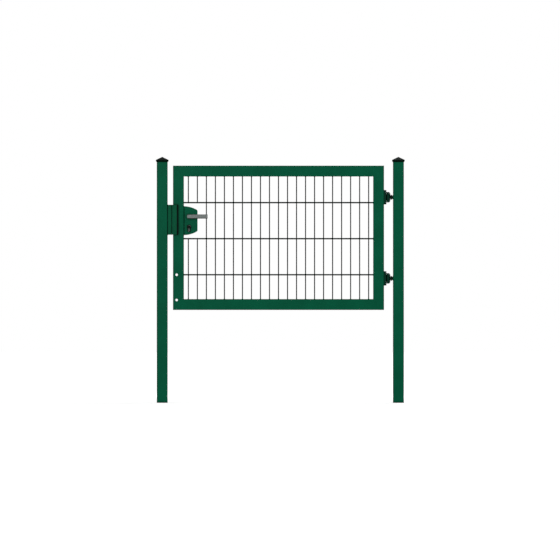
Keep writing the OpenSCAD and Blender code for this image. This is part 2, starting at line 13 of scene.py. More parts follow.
import bpy
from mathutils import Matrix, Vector


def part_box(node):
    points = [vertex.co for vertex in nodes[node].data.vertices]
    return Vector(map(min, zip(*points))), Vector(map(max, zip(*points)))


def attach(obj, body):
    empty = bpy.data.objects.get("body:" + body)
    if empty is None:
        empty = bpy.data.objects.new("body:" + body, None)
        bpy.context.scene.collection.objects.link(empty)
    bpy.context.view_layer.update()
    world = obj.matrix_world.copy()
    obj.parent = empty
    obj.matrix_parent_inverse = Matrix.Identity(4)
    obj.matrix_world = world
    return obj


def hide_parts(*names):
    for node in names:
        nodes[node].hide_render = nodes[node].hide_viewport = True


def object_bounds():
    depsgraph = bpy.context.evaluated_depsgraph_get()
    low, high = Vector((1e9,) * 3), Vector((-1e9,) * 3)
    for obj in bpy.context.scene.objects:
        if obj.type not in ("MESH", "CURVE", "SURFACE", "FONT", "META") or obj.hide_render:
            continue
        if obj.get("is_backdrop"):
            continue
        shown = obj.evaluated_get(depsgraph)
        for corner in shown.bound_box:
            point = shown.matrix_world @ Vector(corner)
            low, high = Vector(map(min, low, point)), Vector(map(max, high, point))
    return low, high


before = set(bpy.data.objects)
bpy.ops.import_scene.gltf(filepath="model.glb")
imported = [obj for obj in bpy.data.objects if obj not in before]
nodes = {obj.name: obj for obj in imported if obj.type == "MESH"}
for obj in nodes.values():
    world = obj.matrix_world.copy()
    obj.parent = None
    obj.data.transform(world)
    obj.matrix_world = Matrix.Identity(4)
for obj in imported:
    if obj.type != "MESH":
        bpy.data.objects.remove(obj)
cad_low, cad_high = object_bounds()
MM = 0.001
print(len(nodes), "solids in a box of", [round(v, 3) for v in cad_high - cad_low], "m")

# %% [markdown]
# ## The camera
#
# The gate is seen square from the front, as on a drawing, with every upright edge
# parallel. A camera with a very long lens, far away, gives that look and is still a
# perspective camera, so it also works for views from other sides. Thin wires look grey
# and uneven when each falls a little differently on the picture's grid, so the camera
# looks past the middle by a hair, to where they all fall alike.

# %% Camera
VIEW_WIDTH = 3.105          # metres of the gate's plane that fill the picture
SENSOR = 0.036
LENS = 1.000
ASIDE, BELOW = 1.7 * MM, 1.1 * MM
FURTHEST_SEEN = 200         # metres, well past the gate and its floor

distance = VIEW_WIDTH * LENS / SENSOR
middle = (cad_low + cad_high) / 2
lens_data = bpy.data.cameras.new("long_lens")
lens_data.lens = LENS / MM
lens_data.sensor_width = SENSOR / MM
lens_data.clip_end = FURTHEST_SEEN
camera = bpy.data.objects.new("camera", lens_data)
post_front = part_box("hinge_post")[0].y
camera.location = (middle.x - ASIDE, post_front - distance, middle.z - BELOW)
camera.rotation_euler = (math.radians(90), 0, 0)
bpy.context.scene.collection.objects.link(camera)
bpy.context.scene.camera = camera
print("camera", round(distance, 2), "m in front of the posts")

# %% [markdown]
# ## Small helpers
#
# A paint maker gives a colour as a hex value, which is made for the screen. Blender
# computes with linear light, so one function turns the one into the other. A second
# function adds a node to any tree, shader or geometry, with its settings and its links. A
# third gives a lighter or darker shade of a colour, because no real coat is one flat tone.

# %% Colour and node helpers
def linear(hex_colour):
    """Turns an sRGB hex value into linear RGBA."""
    parts = [int(hex_colour[i:i + 2], 16) / 255 for i in (1, 3, 5)]
    return [p / 12.92 if p <= 0.04045 else ((p + 0.055) / 1.055) ** 2.4 for p in parts] + [1.0]


def shade_of(colour, amount):
    """A linear colour with its light scaled by amount."""
    return [min(c * amount, 1.0) for c in colour[:3]] + [1.0]


def add_node(tree, kind, inputs=None, **settings):
    """Adds a node, sets its properties, and sets or links each named input."""
    node = tree.nodes.new(kind)
    for key, value in settings.items():
        setattr(node, key, value)
    for key, value in (inputs or {}).items():
        if isinstance(value, bpy.types.NodeSocket):
            tree.links.new(value, node.inputs[key])
        else:
            node.inputs[key].default_value = value
    return node


def new_material(name):
    """An empty material, ready for its nodes."""
    material = bpy.data.materials.new(name)
    material.use_nodes = True
    material.node_tree.nodes.clear()
    return material


print("moss green is", [round(v, 4) for v in linear("#004B33")])

# %% [markdown]
# ## Powder coat on steel tube
#
# Posts and frame are galvanised tube with a polyester powder coat. The powder is sprayed
# on dry and melts in an oven, so it flows like thick varnish and freezes with a fine
# ripple, called orange peel. The eye reads that as a satin face with soft, slightly
# broken highlights. The real ripple is 1 to 2 mm across, too fine to show at this
# distance, so it is drawn 4 mm across and deeper. A second, slow noise changes the colour
# over a hand's width, as a coat does where it is thicker.
#
# Inner corners, where two parts meet, are painted darker, as painted shade. Ambient
# occlusion measures how closed in a spot is, so it finds those corners by itself. The
# seams that nobody grinds are painted almost black, as painted shade between parts.
# Rounded edges are painted darker too, as painted shade. The long edges of these tubes
# run between a front or back face and one square to it, so an edge is where the surface
# faces neither along Y nor square to Y.

# %% Where a coat is painted with shade
ALONG_Y, SQUARE_TO_Y = (0.0, 1.0, 0.0), (1.0, 0.0, 1.0)
CORNER = 14 * MM            # how far painted shade reaches out of an inner corner


def length_of(tree, vector, part):
    """The length of a vector's part along the axes that part holds a 1 for."""
    kept = add_node(tree, "ShaderNodeVectorMath", {0: vector, 1: part}, operation="MULTIPLY")
    length = add_node(tree, "ShaderNodeVectorMath", {0: kept.outputs[0]}, operation="LENGTH")
    return length.outputs["Value"]


def painted_corner_shade(tree):
    """Painted shade in inner corners: 0 in the open, nearly 1 in an inner corner."""
    closed_in = add_node(tree, "ShaderNodeAmbientOcclusion", {"Distance": CORNER}, samples=8)
    painted_shade = add_node(tree, "ShaderNodeMapRange",
                     {"Value": closed_in.outputs["AO"], "From Min": 0.5, "From Max": 0.95,
                      "To Min": 0.9, "To Max": 0.0})
    return painted_shade.outputs["Result"]


def painted_edge_shade(tree, facing, most):
    """Painted shade on rounded edges: 0 on flat faces, and the value of most on rounded edges."""
    straight = add_node(tree, "ShaderNodeMath",
                        {0: length_of(tree, facing, ALONG_Y),
                         1: length_of(tree, facing, SQUARE_TO_Y)}, operation="MAXIMUM")
    shaded_edge = add_node(tree, "ShaderNodeMapRange",
                    {"Value": straight.outputs[0], "From Min": 0.9, "From Max": 0.995,
                     "To Min": most, "To Max": 0.0})
    return shaded_edge.outputs["Result"]


print("grime reaches", round(CORNER / MM), "mm out of a corner")

# %% Powder coat
CLOUDS = 9.0                # cloudy patches in a metre, each about as wide as a hand
COAT_SHINE = 0.03           # a low specular level keeps the dark green deep
SHADE_LEFT = 0.12                # how much of the coat's colour the painted shade leaves


def powder_coat(name, hex_colour, roughness, ripple=4 * MM, depth=0.3 * MM, edge_shade=0.0):
    """Satin powder coat with its ripple, cloudy colour, uneven gloss and painted shade in corners.

    The edge argument says how far rounded edges are painted darker, as painted shade, from 0 to 1."""
    material = new_material(name)
    tree = material.node_tree
    coordinates = add_node(tree, "ShaderNodeTexCoord").outputs
    place = coordinates["Object"]
    base = linear(hex_colour)
    clouds = add_node(tree, "ShaderNodeTexNoise",
                      {"Vector": place, "Scale": CLOUDS, "Detail": 3.0})
    shade = add_node(tree, "ShaderNodeValToRGB", {"Fac": clouds.outputs["Fac"]})
    shade.color_ramp.elements[0].position = 0.3
    shade.color_ramp.elements[0].color = shade_of(base, 0.9)
    shade.color_ramp.elements[1].position = 0.7
    shade.color_ramp.elements[1].color = shade_of(base, 1.1)
    # painted shade: the coat is darker in inner corners, where ambient occlusion finds them
    dark = painted_corner_shade(tree)
    # painted shade on rounded edges, where the surface turns between two faces
    if edge_shade:
        shaded_edge = painted_edge_shade(tree, coordinates["Normal"], edge_shade)
        dark = add_node(tree, "ShaderNodeMath", {0: dark, 1: shaded_edge}, operation="MAXIMUM").outputs[0]
    # in a Mix node set to colour, inputs 6 and 7 are the two colours and output 2 is the mix
    colour = add_node(tree, "ShaderNodeMix",
                      {"Factor": dark, 6: shade.outputs["Color"], 7: shade_of(base, SHADE_LEFT)},
                      data_type="RGBA").outputs[2]
    peel = add_node(tree, "ShaderNodeTexNoise",
                    {"Vector": place, "Scale": 1 / ripple, "Detail": 1.0})
    bump = add_node(tree, "ShaderNodeBump",
                    {"Height": peel.outputs["Fac"], "Distance": depth, "Strength": 0.6})
    gloss = add_node(tree, "ShaderNodeMapRange",
                     {"Value": clouds.outputs["Fac"],
                      "To Min": roughness - 0.05, "To Max": roughness + 0.05})
    coat = add_node(tree, "ShaderNodeBsdfPrincipled",
                    {"Base Color": colour, "Roughness": gloss.outputs["Result"],
                     "Normal": bump.outputs["Normal"], "Specular IOR Level": COAT_SHINE})
    add_node(tree, "ShaderNodeOutputMaterial", {"Surface": coat.outputs["BSDF"]})
    return material


# the tubes and the keep are painted darker on their rounded edges, as painted shade
post_coat = powder_coat("powder_coat_on_post_tube", "#004B33", 0.42, edge_shade=0.65)
frame_coat = powder_coat("powder_coat_on_frame_tube", "#004B33", 0.42, edge_shade=0.65)
keep_coat = powder_coat("powder_coat_on_keep_sheet", "#04472F", 0.45, edge_shade=0.65)
# the wires' moss green is painted almost black, as painted shade for thin round wires
shaded_wire_coat = powder_coat("powder_coat_on_drawn_wire_painted_shade", "#020F0A", 0.45, ripple=3 * MM)
# the unground seams are painted almost black, as painted shade for the dark line between parts
shaded_seam_coat = powder_coat("powder_coat_on_weld_painted_shade", "#001A10", 0.5, ripple=3 * MM)
print("powder coats:", [m.name for m in (post_coat, frame_coat, keep_coat, shaded_wire_coat, shaded_seam_coat)])

# %% [markdown]
# ## Coated forging on the hinges
#
# The hinge brackets and eyebolts are forged and blasted before they are coated, so the
# coat lies over a rough skin, and the sleeves on the post match them. The same recipe with
# a finer ripple and a rougher face gives it, in a green that is almost black.

# %% Hinge coat
hinge_coat = powder_coat("powder_coat_on_forging", "#042A1E", 0.52,
                         ripple=2.5 * MM, depth=0.12 * MM)
print("hinges:", hinge_coat.name)

# %% [markdown]
# ## Moulded plastic and rubber
#
# The post caps, bushes and lock surround are injection-moulded polyamide. The mould is
# spark-eroded, which leaves a fine matt grain all over, so plastic shows broad, dull
# highlights. The stop buffer is extruded rubber, which is duller still and carries faint
# lines along its length from the die.

# %% Plastic and rubber
def moulded_plastic(name, hex_colour, roughness, grain=1.2 * MM):
    """Polyamide from a spark-eroded mould."""
    material = new_material(name)
    tree = material.node_tree
    place = add_node(tree, "ShaderNodeTexCoord").outputs["Object"]
    pits = add_node(tree, "ShaderNodeTexVoronoi", {"Vector": place, "Scale": 1 / grain})
    bump = add_node(tree, "ShaderNodeBump",
                    {"Height": pits.outputs["Distance"], "Distance": 0.05 * MM, "Strength": 0.5})
    haze = add_node(tree, "ShaderNodeTexNoise", {"Vector": place, "Scale": 40.0, "Detail": 2.0})
    gloss = add_node(tree, "ShaderNodeMapRange",
                     {"Value": haze.outputs["Fac"],
                      "To Min": roughness - 0.06, "To Max": roughness + 0.06})
    skin = add_node(tree, "ShaderNodeBsdfPrincipled",
                    {"Base Color": linear(hex_colour), "Roughness": gloss.outputs["Result"],
                     "Normal": bump.outputs["Normal"], "IOR": 1.53, "Specular IOR Level": 0.02})
    add_node(tree, "ShaderNodeOutputMaterial", {"Surface": skin.outputs["BSDF"]})
    return material


def extruded_rubber(name, hex_colour):
    """Rubber with fine die lines along Z."""
    material = new_material(name)
    tree = material.node_tree
    place = add_node(tree, "ShaderNodeTexCoord").outputs["Object"]
    drawn_out = add_node(tree, "ShaderNodeMapping",
                         {"Vector": place, "Scale": (900.0, 900.0, 6.0)})
    lines = add_node(tree, "ShaderNodeTexNoise",
                     {"Vector": drawn_out.outputs["Vector"], "Scale": 1.0})
    bump = add_node(tree, "ShaderNodeBump",
                    {"Height": lines.outputs["Fac"], "Distance": 0.08 * MM, "Strength": 0.5})
    skin = add_node(tree, "ShaderNodeBsdfPrincipled",
                    {"Base Color": linear(hex_colour), "Roughness": 0.75,
                     "Normal": bump.outputs["Normal"], "Specular IOR Level": 0.03})
    add_node(tree, "ShaderNodeOutputMaterial", {"Surface": skin.outputs["BSDF"]})
    return material


cap_plastic = moulded_plastic("moulded_polyamide_cap", "#010B07", 0.5)
lock_plastic = moulded_plastic("moulded_polyamide_lock", "#030504", 0.45, grain=0.8 * MM)
buffer_rubber = extruded_rubber("extruded_rubber_buffer", "#07100C")
print("plastics:", cap_plastic.name, lock_plastic.name, buffer_rubber.name)

# %% [markdown]
# ## Bare metals
#
# Five metals are left bare. Hinge pins, the levers' spindle and the lock's sheet box are
# zinc plated, which dulls to a cloudy grey. Lock nuts, key plugs, and the screws of hinges
# and levers are blackened: a bath turns the steel's skin into black oxide, with a soft grey
# shine where the light hits it. The faceplate with its screws, and the bolts, are brushed
# stainless steel, with fine scratches along the way the belt ran. The levers are
# aluminium, blasted with glass beads and anodised, which is even and matt. The key
# cylinder is brass with matt nickel plate; graphite and dirt from the key have blackened
# its face round the plug. One recipe makes all five: a metal, a colour, and a noise that
# is stretched one way for brushed metal and even for blasted metal. The dirt is a round
# mask, measured from the plug's own axis.

# %% Metals
DIRT_REACH = 9 * MM         # how far from the plug's axis the cylinder is blackened


def bare_metal(name, hex_colour, roughness, grain, dirt_at=None):
    """Metal with a grain, in marks a metre; a low value draws it out along that axis.

    dirt_at is a point on an axis along Y; the metal is blackened round that axis."""
    material = new_material(name)
    tree = material.node_tree
    place = add_node(tree, "ShaderNodeTexCoord").outputs["Object"]
    drawn_out = add_node(tree, "ShaderNodeMapping",
                         {"Vector": place, "Scale": [float(g) for g in grain]})
    marks = add_node(tree, "ShaderNodeTexNoise",
                     {"Vector": drawn_out.outputs["Vector"], "Scale": 1.0, "Detail": 2.0})
    base = linear(hex_colour)
    tint = add_node(tree, "ShaderNodeValToRGB", {"Fac": marks.outputs["Fac"]})
    tint.color_ramp.elements[0].position = 0.25
    tint.color_ramp.elements[0].color = shade_of(base, 0.86)
    tint.color_ramp.elements[1].position = 0.75
    tint.color_ramp.elements[1].color = shade_of(base, 1.12)
    gloss = add_node(tree, "ShaderNodeMapRange",
                     {"Value": marks.outputs["Fac"],
                      "To Min": roughness - 0.08, "To Max": roughness + 0.08})
    bump = add_node(tree, "ShaderNodeBump",
                    {"Height": marks.outputs["Fac"], "Distance": 0.02 * MM, "Strength": 0.5})
    colour = tint.outputs["Color"]
    if dirt_at is not None:
        away = add_node(tree, "ShaderNodeVectorMath", {0: place, 1: dirt_at},
                        operation="SUBTRACT")
        dirt = add_node(tree, "ShaderNodeMapRange",
                        {"Value": length_of(tree, away.outputs[0], SQUARE_TO_Y),
                         "From Min": DIRT_REACH - 1 * MM, "From Max": DIRT_REACH + 0.5 * MM,
                         "To Min": 0.92, "To Max": 0.0})
        colour = add_node(tree, "ShaderNodeMix",
                          {"Factor": dirt.outputs["Result"], 6: colour, 7: linear("#070807")},
                          data_type="RGBA").outputs[2]
    metal = add_node(tree, "ShaderNodeBsdfPrincipled",
                     {"Base Color": colour, "Metallic": 1.0,
                      "Roughness": gloss.outputs["Result"], "Normal": bump.outputs["Normal"]})
    add_node(tree, "ShaderNodeOutputMaterial", {"Surface": metal.outputs["BSDF"]})
    return material


zinc = bare_metal("zinc_plated_steel", "#8A8F90", 0.4, grain=(300, 300, 300))
stainless = bare_metal("brushed_stainless_steel", "#A9ADAE", 0.34, grain=(1500, 1500, 12))
aluminium = bare_metal("bead_blasted_aluminium", "#545857", 0.46, grain=(900, 900, 900))
plug_low, plug_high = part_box("key_plug_front")
nickel = bare_metal("matt_nickel_on_brass", "#343A38", 0.38, grain=(700, 700, 40),
                    dirt_at=(plug_low + plug_high) / 2)
black_oxide = bare_metal("black_oxide_on_steel", "#0E1210", 0.42, grain=(400, 400, 400))
print("metals:", ", ".join(m.name for m in (zinc, stainless, aluminium, nickel, black_oxide)))

# %% [markdown]
# ## Finishes on the CAD solids
#
# Each solid keeps its CAD shape and gets its finish by name. The table reads like a
# paint order: one line for each finish, with the solids that get it.

# %% Assign the finishes
finishes = {
    post_coat: ["hinge_post", "lock_post"],
    frame_coat: ["lock_stile", "hinge_stile", "top_rail", "bottom_rail", "lock_case"],
    keep_coat: ["keep_box", "stop_plate"],
    shaded_wire_coat: ["mesh_panel"],
    hinge_coat: ["hinge_bracket_upper", "hinge_bracket_lower", "eyebolt_upper", "eyebolt_lower",
                 "hinge_sleeve_upper", "hinge_sleeve_lower"],
    cap_plastic: ["hinge_post_cap", "lock_post_cap"],
    buffer_rubber: ["stop_buffer"],
    zinc: ["hinge_pin_upper", "hinge_pin_lower", "lever_spindle", "lock_mechanism"],
    black_oxide: ["lock_nut_upper", "lock_nut_lower", "key_plug_front", "key_plug_back"],
    stainless: ["lock_faceplate", "latch_bolt", "dead_bolt"],
    aluminium: ["lever_front", "lever_back"],
    nickel: ["key_cylinder"],
    lock_plastic: ["cylinder_surround_front", "cylinder_surround_back", "lever_bush_front",
                   "lever_bush_back"],
}
for material, names in finishes.items():
    for name in names:
        nodes[name].data.materials.clear()
        nodes[name].data.materials.append(material)
unfinished = set(nodes) - {n for names in finishes.values() for n in names}
print("without a finish:", sorted(unfinished))

# %% [markdown]
# ## Soft edges
#
# No made edge is perfectly sharp. Bent sheet has a radius, a moulding is drafted and
# rounded, and a coat fills corners. A Bevel modifier rounds the sharp edges, and it
# needs joined faces, so a Weld modifier merges the loose triangles first, and a
# Decimate modifier turns the triangles of each flat face back into one face. Weighted
# normals then keep the flat faces looking flat.

# %% Round the sharp edges
SHARP = 35                  # degrees; a blunter edge stays as it is


def soften(name, width):
    """Rounds a solid's sharp edges by width."""
    piece = nodes[name]
    merge = piece.modifiers.new("merge", "WELD")
    merge.merge_threshold = 0.005 * MM
    plain = piece.modifiers.new("plain", "DECIMATE")
    plain.decimate_type = "DISSOLVE"
    plain.angle_limit = math.radians(0.5)
    edge = piece.modifiers.new("edge", "BEVEL")
    edge.width = width
    edge.segments = 2
    edge.limit_method = "ANGLE"
    edge.angle_limit = math.radians(SHARP)
    edge.use_clamp_overlap = True
    piece.modifiers.new("flat", "WEIGHTED_NORMAL")


edge_widths = {             # in millimetres
    "hinge_post_cap": 1.2, "lock_post_cap": 1.2, "keep_box": 1.5, "stop_plate": 0.8,
    "stop_buffer": 0.6, "lock_case": 1.0, "lock_faceplate": 0.4, "hinge_bracket_upper": 0.9,
    "hinge_bracket_lower": 0.9, "lever_front": 0.8, "lever_back": 0.8,
}
for name, width in edge_widths.items():
    soften(name, width * MM)
print("rounded:", len(edge_widths), "solids")

# %% [markdown]
# ## Growing repeated pieces with Geometry Nodes
#
# Wires, weld points, seams and screws repeat. Each is drawn as a bare sketch, of points
# and lines where the real piece has its wires or welds, and a geometry tree grows the
# solid on it. Every tree ends alike: its copies are made real, weld balls are smoothed, and
# the solid gets its finish. One helper runs a tree on a sketch and keeps the result as a
# plain mesh.

# %% Helpers for sketches and trees
def sketch(name, points, lines=(), **values):
    """A mesh of points and lines, with one number per point for each named value."""
    mesh = bpy.data.meshes.new(name)
    mesh.from_pydata([tuple(p) for p in points], list(lines), [])
    for key, numbers in values.items():
        mesh.attributes.new(key, "FLOAT", "POINT").data.foreach_set("value", list(numbers))
    return mesh


def in_pairs(points):
    """Lines that join the points two by two."""
    return [(i, i + 1) for i in range(0, len(points), 2)]


def new_tree(name, **sizes):
    """A geometry tree that takes a sketch, and one input of the given kind for each size."""
    tree = bpy.data.node_groups.new(name, "GeometryNodeTree")
    tree.is_modifier = True
    tree.interface.new_socket("Sketch", in_out="INPUT", socket_type="NodeSocketGeometry")
    kinds = {float: "NodeSocketFloat", int: "NodeSocketInt", tuple: "NodeSocketVector",
             bpy.types.Object: "NodeSocketObject", bpy.types.Material: "NodeSocketMaterial"}
    for key, kind in sizes.items():
        tree.interface.new_socket(key, in_out="INPUT", socket_type=kinds[kind])
    tree.interface.new_socket("Solid", in_out="OUTPUT", socket_type="NodeSocketGeometry")
    return tree


def end_tree(tree, geometry, finish, smooth=False):
    """Makes the copies real, smooths them if asked, and gives them their finish."""
    last = add_node(tree, "GeometryNodeRealizeInstances", {"Geometry": geometry})
    if smooth:
        last = add_node(tree, "GeometryNodeSetShadeSmooth", {"Geometry": last.outputs[0]})
    last = add_node(tree, "GeometryNodeSetMaterial",
                    {"Geometry": last.outputs[0], "Material": finish})
    add_node(tree, "NodeGroupOutput", {"Solid": last.outputs[0]})
    print("tree:", tree.name)


print("helpers for sketches and trees are ready")

# %% Run a tree on a sketch
def grow(name, drawn, tree, body, slot, **sizes):
    """Runs a tree on a sketch, keeps a plain mesh, and lets it ride on a body."""
    source = bpy.data.objects.new(name + "_sketch", drawn)
    bpy.context.scene.collection.objects.link(source)
    modifier = source.modifiers.new("tree", "NODES")
    modifier.node_group = tree
    for item in tree.interface.items_tree:
        if item.in_out == "INPUT" and item.name in sizes:
            modifier[item.identifier] = sizes[item.name]
    bpy.context.view_layer.update()
    graph = bpy.context.evaluated_depsgraph_get()
    mesh = bpy.data.meshes.new_from_object(source.evaluated_get(graph), depsgraph=graph)
    source.modifiers.clear()
    bpy.data.objects.remove(source)
    piece = bpy.data.objects.new(name, mesh)
    bpy.context.scene.collection.objects.link(piece)
    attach(piece, body)
    triangles = sum(len(face.vertices) - 2 for face in mesh.polygons)
    print(name, "on", body, "-", triangles, "triangles")
    return piece


print("sketches can grow")

# %% [markdown]
# ## Where the leaf and its mesh are
#
# The mesh follows a rule that the wire works use for every panel: uprights every 50 mm,
# and a pair of level wires, one before and one behind, every 200 mm. The uprights sit
# in the middle of the opening, and those that would run into the lock case stop at the
# level wires above and below it.

# %% Read the leaf's sizes from the frame
UPRIGHT, LEVEL = 6 * MM, 8 * MM
SUNK_IN = 1 * MM            # how far the wires are let into each other
UPRIGHT_PITCH, LEVEL_PITCH = 50 * MM, 200 * MM
FIRST_LEVEL = 195 * MM      # from the leaf's lower edge
LAST_GAP = 40 * MM          # the least room between a level wire and the top rail
ROUNDING = 0.001            # keeps a width of exactly 21 pitches from counting as 20

leaf_low, leaf_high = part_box("bottom_rail")[0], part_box("top_rail")[1]
tube_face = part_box("bottom_rail")[1].z - leaf_low.z
open_low = leaf_low + Vector((tube_face, 0, tube_face))
open_high = leaf_high - Vector((tube_face, 0, tube_face))
case_low, case_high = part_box("lock_case")
level_y = (UPRIGHT + LEVEL) / 2 - SUNK_IN

width = open_high.x - open_low.x
count = int(width / UPRIGHT_PITCH + ROUNDING)
first = open_low.x + (width - (count - 1) * UPRIGHT_PITCH) / 2
upright_xs = [first + i * UPRIGHT_PITCH for i in range(count)]
level_zs = []
z = leaf_low.z + FIRST_LEVEL
while z < open_high.z - LAST_GAP:
    level_zs.append(z)
    z += LEVEL_PITCH
bay_low = max([z for z in level_zs if z < case_low.z] + [open_low.z])
bay_high = min([z for z in level_zs if z > case_high.z] + [open_high.z])
print(count, "uprights,", len(level_zs), "pairs of level wires, lock bay",
      round(bay_low, 3), "to", round(bay_high, 3))

# %% [markdown]
# ## Round wires
#
# The CAD mesh has eight-sided wires to keep it light. Real wire is drawn through a die
# and is round, so the tree sweeps a circle along each line of the sketch. Each point of
# the sketch keeps its wire's radius, so thick and thin wires grow in one pass. Sweeping
# is simpler than placing hundreds of cylinders, and it closes the ends.

# %% Draw the wires' centre lines
SIDES = (-1, 1)             # front and back
ends, gauges = [], []


def wire_line(start, end, diameter):
    """Notes a wire's two ends and its radius at each."""
    ends.extend([start, end])
    gauges.extend([diameter / 2, diameter / 2])


for x in upright_xs:
    if x < case_high.x + UPRIGHT:
        wire_line((x, 0, open_low.z), (x, 0, bay_low + LEVEL / 2), UPRIGHT)
        wire_line((x, 0, bay_high - LEVEL / 2), (x, 0, open_high.z), UPRIGHT)
    else:
        wire_line((x, 0, open_low.z), (x, 0, open_high.z), UPRIGHT)
for z in level_zs:
    for side in SIDES:
        wire_line((open_low.x, side * level_y, z), (open_high.x, side * level_y, z), LEVEL)
wire_sketch = sketch("wire_lines", ends, in_pairs(ends), gauge=gauges)
print(len(ends) // 2, "wires")

# %% Grow the wires
sweep = new_tree("sweep_wires", Sides=int, Coat=bpy.types.Material)
given = add_node(sweep, "NodeGroupInput").outputs
curves = add_node(sweep, "GeometryNodeMeshToCurve", {"Mesh": given["Sketch"]})
gauge = add_node(sweep, "GeometryNodeInputNamedAttribute", {"Name": "gauge"},
                 data_type="FLOAT")
ring = add_node(sweep, "GeometryNodeCurvePrimitiveCircle",
                {"Resolution": given["Sides"], "Radius": 1.0})
swept = add_node(sweep, "GeometryNodeCurveToMesh",
                 {"Curve": curves.outputs["Curve"], "Profile Curve": ring.outputs["Curve"],
                  "Scale": gauge.outputs["Attribute"], "Fill Caps": True})
end_tree(sweep, swept.outputs["Mesh"], given["Coat"])
wires = grow("mesh_wires", wire_sketch, sweep, "leaf", "wire_paint", Sides=16, Coat=shaded_wire_coat)
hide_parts("mesh_panel")

# %% [markdown]
# ## Weld points
#
# A welding machine clamps each crossing and sends a current through it. The wires sink
# into each other and a little melted steel is squeezed out around the spot. Each wire's
# end is also tacked to the tube with a small puddle. Both are flattened drops, so one
# tree puts a low sphere on every point, each a bit different in size from its neighbour.

# %% A tree for weld drops
drops = new_tree("weld_drops", Size=tuple, Uneven=float, Seed=int, Coat=bpy.types.Material)
given = add_node(drops, "NodeGroupInput").outputs
ball = add_node(drops, "GeometryNodeMeshIcoSphere", {"Radius": 1.0, "Subdivisions": 2})
least = add_node(drops, "ShaderNodeMath", {0: 1.0, 1: given["Uneven"]}, operation="SUBTRACT")
most = add_node(drops, "ShaderNodeMath", {0: 1.0, 1: given["Uneven"]}, operation="ADD")
# in a Random Value node set to float, inputs 2 and 3 are the limits and output 1 is the value
chance = add_node(drops, "FunctionNodeRandomValue",
                  {2: least.outputs[0], 3: most.outputs[0], "Seed": given["Seed"]},
                  data_type="FLOAT")
scale = add_node(drops, "ShaderNodeVectorMath",
                 {0: given["Size"], "Scale": chance.outputs[1]}, operation="SCALE")
placed = add_node(drops, "GeometryNodeInstanceOnPoints",
                  {"Points": given["Sketch"], "Instance": ball.outputs["Mesh"],
                   "Scale": scale.outputs["Vector"]})
end_tree(drops, placed.outputs["Instances"], given["Coat"], smooth=True)

# %% Weld points at the crossings and the wires' ends
weld_y = UPRIGHT / 2.4      # where an upright meets the level wires
crossings = [(x, side * weld_y, z) for x in upright_xs for z in level_zs for side in SIDES]
grow("crossing_welds", sketch("crossings", crossings), drops, "leaf", "wire_paint",
     Size=(4.3 * MM, 1.6 * MM, 4.6 * MM), Uneven=0.12, Seed=3, Coat=shaded_wire_coat)
rail_ends = [(x, 0, z) for x in upright_xs for z in (open_low.z, open_high.z)]
grow("rail_tacks", sketch("rail_ends", rail_ends), drops, "leaf", "frame_paint",
     Size=(5.2 * MM, 5.2 * MM, 1.8 * MM), Uneven=0.15, Seed=5, Coat=frame_coat)
stile_ends = [(x, side * level_y, z) for x in (open_low.x, open_high.x)
              for z in level_zs for side in SIDES]
grow("stile_tacks", sketch("stile_ends", stile_ends), drops, "leaf", "frame_paint",
     Size=(1.8 * MM, 6.0 * MM, 6.0 * MM), Uneven=0.12, Seed=7, Coat=frame_coat)
print(len(crossings), "crossings,", len(rail_ends) + len(stile_ends), "wire ends")

# %% [markdown]
# ## Weld seams
#
# The frame's corners are mitred and welded, and the lock case, the hinge sleeves and the
# keep are welded on. A seam is a row of frozen ripples, one for each time the welder's
# torch stepped on. The tree cuts each line of the sketch into equal steps and sets a
# ball on each, sunk so deep that only a low ridge shows. The balls differ by a few parts in
# a hundred. On the frame's faces the ridge is ground almost flush before coating.

# %% A tree for weld seams
seams = new_tree("weld_seams", Step=float, Ball=float, Seed=int, Coat=bpy.types.Material)
given = add_node(seams, "NodeGroupInput").outputs
curves = add_node(seams, "GeometryNodeMeshToCurve", {"Mesh": given["Sketch"]})
steps = add_node(seams, "GeometryNodeResampleCurve",
                 {"Curve": curves.outputs["Curve"], "Length": given["Step"]}, mode="LENGTH")
ball = add_node(seams, "GeometryNodeMeshIcoSphere",
                {"Radius": given["Ball"], "Subdivisions": 2})
chance = add_node(seams, "FunctionNodeRandomValue", {2: 0.96, 3: 1.03, "Seed": given["Seed"]},
                  data_type="FLOAT")
placed = add_node(seams, "GeometryNodeInstanceOnPoints",
                  {"Points": steps.outputs["Curve"], "Instance": ball.outputs["Mesh"],
                   "Scale": chance.outputs[1]})
end_tree(seams, placed.outputs["Instances"], given["Coat"], smooth=True)

# %% Mitre seams on the frame's four corners
BALL = 3.5 * MM             # radius of the ball that makes one ripple
GROUND = 0.25 * MM          # how far a ground seam still stands up
SHORT = 0.06                # the part of a mitre at each end where the seam is ground away
front, back = leaf_low.y, leaf_high.y
corners = [((leaf_low.x, leaf_low.z), (open_low.x, open_low.z)),
           ((leaf_high.x, leaf_low.z), (open_high.x, open_low.z)),
           ((leaf_low.x, leaf_high.z), (open_low.x, open_high.z)),
           ((leaf_high.x, leaf_high.z), (open_high.x, open_high.z))]
points = []
for y in (front + BALL - GROUND, back - BALL + GROUND):
    for (x0, z0), (x1, z1) in corners:
        step_x, step_z = (x1 - x0) * SHORT, (z1 - z0) * SHORT
        points += [(x0 + step_x, y, z0 + step_z), (x1 - step_x, y, z1 - step_z)]
grow("mitre_seams", sketch("mitres", points, in_pairs(points)), seams, "leaf", "frame_paint",
     Step=1.5 * MM, Ball=BALL, Seed=11, Coat=frame_coat)

